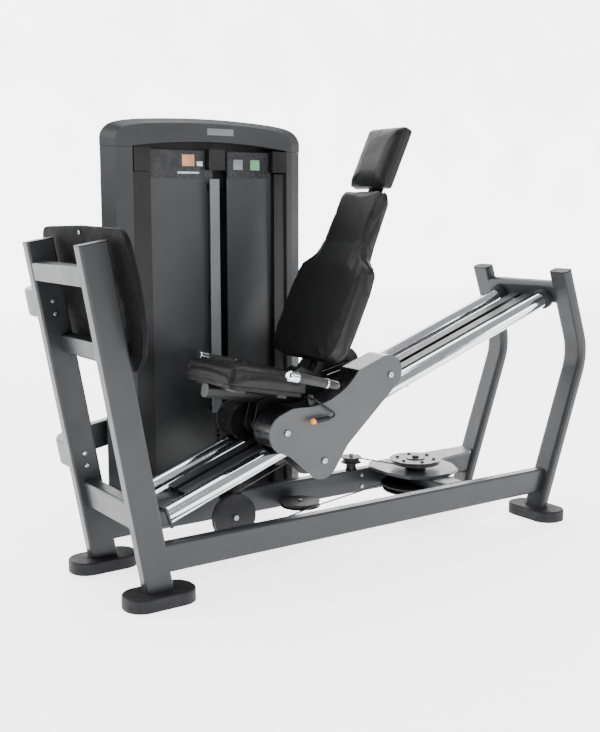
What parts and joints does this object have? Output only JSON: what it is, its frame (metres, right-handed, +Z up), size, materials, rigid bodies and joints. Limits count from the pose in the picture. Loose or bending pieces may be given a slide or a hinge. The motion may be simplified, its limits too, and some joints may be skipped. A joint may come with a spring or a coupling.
{
  "type": "leg press machine",
  "caption": "Seated leg press with a carriage on inclined guide tubes, a fixed footplate between leaning posts, and a shrouded weight tower driven by cables.",
  "frame": {"origin": "centre of the overall box, on the floor", "axes": "+X from the footplate towards the rear frame, +Y towards the weight tower, +Z up"},
  "size_m": [2.3182, 0.985, 1.661],
  "materials": {
    "frame_paint": "satin metallic",
    "tower_paint": "satin metallic",
    "housing_paint": "satin metallic",
    "black_paint": "satin",
    "chrome": "polished",
    "steel": "zinc plated",
    "rack_steel": "dark",
    "rubber": "matte",
    "grip_rubber": "ribbed",
    "vinyl": "soft satin vinyl",
    "mat": "ribbed",
    "pulley": "moulded nylon",
    "board": "moulded",
    "roller": "urethane",
    "cable": "coated wire rope",
    "screen": "dark tinted",
    "strip": "satin",
    "placard": "printed",
    "iron": "painted",
    "orange": "gloss",
    "pin": "gloss"
  },
  "bodies": {
    "frame": {"front_posts": "frame_paint", "base_rails": "frame_paint", "rear_uprights": "frame_paint", "tube_end_caps": "black_paint", "frame_cross_tubes": "frame_paint", "guide_rail_links": "frame_paint", "guide_tubes": "chrome", "rubber_bumpers": "rubber", "centre_channel": "housing_paint", "start_position_rack": "rack_steel", "rubber_feet": "rubber", "footplate_board": "board", "footplate_mat": "mat", "footplate_supports": "frame_paint", "tower_braces": "frame_paint", "tower_inner_frame": "frame_paint", "tower_columns": "tower_paint", "tower_crown": "tower_paint", "tower_back_shell": "tower_paint", "tower_side_posts": "black_paint", "tower_screens": "screen", "centre_strip": "strip", "tower_placards": "placard", "stack_guide_rods": "chrome", "weight_plates_resting": "iron", "pulley_brackets": "black_paint", "drum_mount_plate": "frame_paint", "lift_cable": "cable", "bolts_and_axles": "steel"},
    "carriage": {"housing_outer_plates": "housing_paint", "housing_inner_plates": "black_paint", "housing_wraps": "housing_paint", "carriage_axles": "steel", "carriage_frame": "black_paint", "seat_back_tube": "black_paint", "pad_brackets": "black_paint", "pad_boards": "board", "seat_cushion": "vinyl", "back_cushion": "vinyl", "headrest_cushion": "vinyl", "handle_arms": "black_paint", "handle_tubes": "chrome", "handle_grips": "grip_rubber", "carriage_cable": "cable"},
    "rollers_front": {"rollers_front": "roller"},
    "rollers_rear": {"rollers_rear": "roller"},
    "rollers_lower": {"rollers_lower": "roller"},
    "start_lever": {"start_lever": "black_paint", "lever_end_cap": "orange"},
    "weight_stack": {"weight_plates_lifted": "iron", "selector_rod": "steel", "stack_cable": "cable"},
    "selector_pin": {"selector_pin": "pin"},
    "front_pulley": {"front_pulley": "pulley"},
    "idler_pulley": {"idler_pulley": "pulley"},
    "rail_idler_pulley": {"rail_idler_pulley": "pulley"},
    "drum": {"cable_drum": "pulley", "cam_disc": "housing_paint"},
    "tower_foot_pulley": {"tower_foot_pulley": "pulley"},
    "top_pulley": {"top_pulley": "pulley"}
  },
  "joints": [
    {"name": "carriage_slide", "type": "slide", "parent": "frame", "child": "carriage", "axis": [0.9418, 0, 0.3362], "range_m": [0, 0.5]},
    {"name": "roller_front_spin", "type": "hinge", "parent": "carriage", "child": "rollers_front", "pos_m": [-0.35579, -0.1325, 0.51162], "axis": [0, 1, 0], "continuous": true},
    {"name": "roller_rear_spin", "type": "hinge", "parent": "carriage", "child": "rollers_rear", "pos_m": [0.1264, -0.1325, 0.68376], "axis": [0, 1, 0], "continuous": true},
    {"name": "roller_lower_spin", "type": "hinge", "parent": "carriage", "child": "rollers_lower", "pos_m": [-0.24057, -0.1325, 0.41493], "axis": [0, 1, 0], "continuous": true},
    {"name": "start_lever_turn", "type": "hinge", "parent": "carriage", "child": "start_lever", "pos_m": [-0.24243, -0.3125, 0.62536], "axis": [0, 1, 0], "range_deg": [0, 22], "stiffness_Nm_per_rad": 2, "springref_deg": -14.32},
    {"name": "weight_stack_lift", "type": "slide", "parent": "frame", "child": "weight_stack", "axis": [0, 0, 1], "range_m": [0, 0.4463], "deforming": ["stack_cable"]},
    {"name": "selector_pin_pull", "type": "slide", "parent": "weight_stack", "child": "selector_pin", "axis": [0, -1, 0], "range_m": [0, 0.045]},
    {"name": "front_pulley_spin", "type": "hinge", "parent": "frame", "child": "front_pulley", "pos_m": [-0.46831, -0.1325, 0.172], "axis": [0, 1, 0], "continuous": true},
    {"name": "idler_pulley_spin", "type": "hinge", "parent": "frame", "child": "idler_pulley", "pos_m": [-0.09231, -0.0285, 0.14], "axis": [0, 0, 1], "continuous": true},
    {"name": "drum_spin", "type": "hinge", "parent": "frame", "child": "drum", "pos_m": [0.47069, -0.0825, 0.2], "axis": [0, 0, 1], "continuous": true},
    {"name": "rail_idler_spin", "type": "hinge", "parent": "frame", "child": "rail_idler_pulley", "pos_m": [0.25568, 0.0895, 0.25], "axis": [0, 0, 1], "continuous": true},
    {"name": "tower_foot_pulley_spin", "type": "hinge", "parent": "frame", "child": "tower_foot_pulley", "pos_m": [-0.10913, 0.30345, 0.29], "axis": [0.4263, 0.9046, 0], "continuous": true},
    {"name": "top_pulley_spin", "type": "hinge", "parent": "frame", "child": "top_pulley", "pos_m": [-0.22032, 0.3205, 1.478], "axis": [0, 1, 0], "continuous": true}
  ],
  "couplings": [
    {"joint": "roller_front_spin", "follows": "carriage_slide", "rad_per_m": 25.974},
    {"joint": "roller_rear_spin", "follows": "carriage_slide", "rad_per_m": 25.974},
    {"joint": "roller_lower_spin", "follows": "carriage_slide", "rad_per_m": -38.023},
    {"joint": "weight_stack_lift", "follows": "carriage_slide", "ratio": 0.89167},
    {"joint": "front_pulley_spin", "follows": "carriage_slide", "rad_per_m": 11.905},
    {"joint": "idler_pulley_spin", "follows": "carriage_slide", "rad_per_m": -13.514},
    {"joint": "drum_spin", "follows": "carriage_slide", "rad_per_m": 8.3333},
    {"joint": "rail_idler_spin", "follows": "carriage_slide", "rad_per_m": -23.465},
    {"joint": "tower_foot_pulley_spin", "follows": "carriage_slide", "rad_per_m": -22.292},
    {"joint": "top_pulley_spin", "follows": "carriage_slide", "rad_per_m": 11.889}
  ]
}
